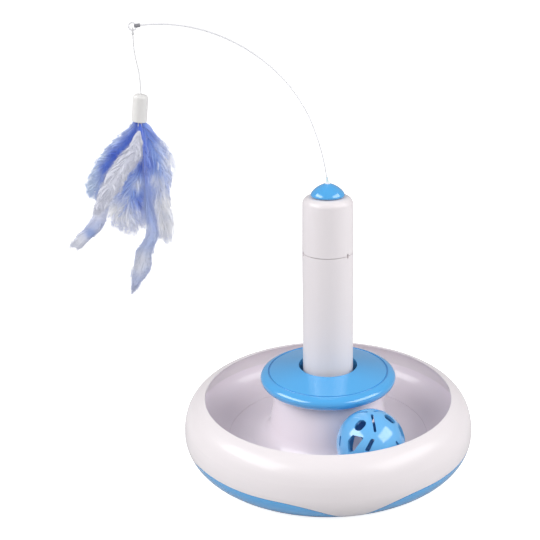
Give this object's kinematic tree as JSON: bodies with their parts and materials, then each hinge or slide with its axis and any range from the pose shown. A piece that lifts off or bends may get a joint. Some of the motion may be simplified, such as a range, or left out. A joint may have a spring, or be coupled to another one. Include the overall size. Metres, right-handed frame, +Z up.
{
  "type": "cat track ball toy",
  "caption": "Round track bowl with a trapped lattice ball, a blue hub cap and a central post whose motor turns a spring-wire wand with a hanging feather lure.",
  "frame": {"origin": "centre of the underside of the middle pad, on the ground, on the bowl's axis", "axes": "+Z up along the bowl and post axis; at rest the wand leans to -X; the picture looks along +Y"},
  "size_m": [0.27, 0.2, 0.2973],
  "materials": {
    "blue_plastic": "moulded, glossy",
    "white_plastic": "moulded, soft gloss",
    "rubber_pad": "matt",
    "screw_steel": "zinc plated",
    "bell_metal": "polished",
    "contact_brass": "stamped strip",
    "cell_wrap": "printed sleeve, bare of words",
    "carrier_plastic": "moulded",
    "motor_steel": "drawn can",
    "armature_iron": "laminated",
    "gear_plastic": "natural acetal",
    "shaft_steel": "ground",
    "bush_brass": "sintered",
    "switch_black": "moulded",
    "lead_pvc": "soft sleeve",
    "clear_sleeve": "milky",
    "wire_steel": "bright spring wire",
    "crimp_grey": "small sleeve",
    "string_white": "fine twisted line",
    "cap_white": "moulded",
    "feather_blue": "dyed narrow feather",
    "feather_deep_blue": "dyed fluffy feather",
    "feather_pale": "white fluffy feather",
    "quill_horn": "feather stems"
  },
  "bodies": {
    "base": {"base_pan": "blue_plastic", "rim_shell": "white_plastic", "track_tray": "white_plastic", "base_screws": "screw_steel", "non_slip_feet": "rubber_pad"},
    "cap": {"hub_cap": "blue_plastic"},
    "bell": {"bell_shell": "bell_metal", "bell_pellet": "shaft_steel"},
    "ball": {"ball_upper_half": "blue_plastic", "ball_lower_half": "blue_plastic"},
    "post": {"post_tube": "white_plastic", "battery_carrier": "carrier_plastic", "aa_cell_left": "cell_wrap", "aa_cell_right": "cell_wrap", "bridge_contact": "contact_brass", "terminal_contacts": "contact_brass", "contact_disc": "carrier_plastic", "contact_rings": "contact_brass"},
    "head": {"head_shell": "white_plastic", "head_base": "white_plastic", "contact_fingers": "contact_brass", "motor_can": "motor_steel", "motor_end_cap": "carrier_plastic", "gear_frame": "carrier_plastic", "gear_cover": "carrier_plastic", "gear_pin": "shaft_steel", "cover_screws": "screw_steel", "shaft_bush": "bush_brass", "switch_body": "switch_black", "lead_wires": "lead_pvc"},
    "motor_rotor": {"motor_shaft": "shaft_steel", "motor_armature": "armature_iron", "motor_pinion": "gear_plastic"},
    "gear_one": {"first_gear": "gear_plastic"},
    "gear_two": {"second_gear": "gear_plastic"},
    "gear_three": {"third_gear": "gear_plastic"},
    "switch": {"switch_slider": "switch_black"},
    "rotor": {"output_gear": "gear_plastic", "output_shaft": "shaft_steel", "rotor_dome": "blue_plastic"},
    "wand": {"wire_collar": "clear_sleeve", "wand_wire": "wire_steel", "wire_crimp": "crimp_grey"},
    "link": {"string_link": "string_white"},
    "lure": {"lure_string": "string_white", "feather_cap": "cap_white", "feather_quills": "quill_horn", "feather_white_front": "feather_pale", "feather_blue_left": "feather_deep_blue", "feather_long_left": "feather_blue", "feather_centre_fluff": "feather_blue", "feather_long_right": "feather_blue", "feather_right_fluff": "feather_deep_blue", "feather_back_fluff": "feather_pale"}
  },
  "joints": [
    {"name": "cap_lift", "type": "slide", "parent": "base", "child": "cap", "axis": [0, 0, 1], "range_m": [0, 0.04]},
    {"name": "post_lift", "type": "slide", "parent": "base", "child": "post", "axis": [0, 0, 1], "range_m": [0, 0.03]},
    {"name": "head_pull", "type": "slide", "parent": "post", "child": "head", "axis": [0, 0, 1], "range_m": [0, 0.012]},
    {"name": "switch_slide", "type": "slide", "parent": "head", "child": "switch", "axis": [0, 0, 1], "range_m": [-0.002, 0]},
    {"name": "wand_spin", "type": "hinge", "parent": "head", "child": "rotor", "pos_m": [0, 0, 0.1875], "axis": [0, 0, 1], "continuous": true},
    {"name": "gear_three_spin", "type": "hinge", "parent": "head", "child": "gear_three", "pos_m": [0, 0.007, 0.18], "axis": [0, 0, 1], "continuous": true},
    {"name": "gear_two_spin", "type": "hinge", "parent": "head", "child": "gear_two", "pos_m": [0, 0, 0.18], "axis": [0, 0, 1], "continuous": true},
    {"name": "gear_one_spin", "type": "hinge", "parent": "head", "child": "gear_one", "pos_m": [0, 0.007, 0.18], "axis": [0, 0, 1], "continuous": true},
    {"name": "motor_spin", "type": "hinge", "parent": "head", "child": "motor_rotor", "pos_m": [0, 0, 0.16], "axis": [0, 0, 1], "continuous": true},
    {"name": "wand_flex", "type": "hinge", "parent": "rotor", "child": "wand", "pos_m": [0, 0, 0.1953], "axis": [0, 1, 0], "range_deg": [-12, 12], "stiffness_Nm_per_rad": 0.15, "springref_deg": 1.72},
    {"name": "lure_swing_side", "type": "hinge", "parent": "wand", "child": "link", "pos_m": [-0.11905, 0, 0.29222], "axis": [1, 0, 0], "range_deg": [-25, 25]},
    {"name": "lure_swing", "type": "hinge", "parent": "link", "child": "lure", "pos_m": [-0.11905, 0, 0.29222], "axis": [0, 1, 0], "range_deg": [-25, 20]},
    {"name": "ball_orbit", "type": "hinge", "parent": "base", "child": "bell", "pos_m": [0, 0, 0.03825], "axis": [0, 0, 1], "continuous": true},
    {"name": "ball_roll", "type": "hinge", "parent": "bell", "child": "ball", "pos_m": [0.02729, -0.05722, 0.03825], "axis": [0.4305, -0.9026, 0], "continuous": true}
  ],
  "couplings": [
    {"joint": "gear_three_spin", "follows": "wand_spin", "ratio": -2.5},
    {"joint": "gear_two_spin", "follows": "wand_spin", "ratio": 6.25},
    {"joint": "gear_one_spin", "follows": "wand_spin", "ratio": -15.625},
    {"joint": "motor_spin", "follows": "wand_spin", "ratio": 39.062},
    {"joint": "ball_roll", "follows": "ball_orbit", "ratio": -2.843}
  ]
}
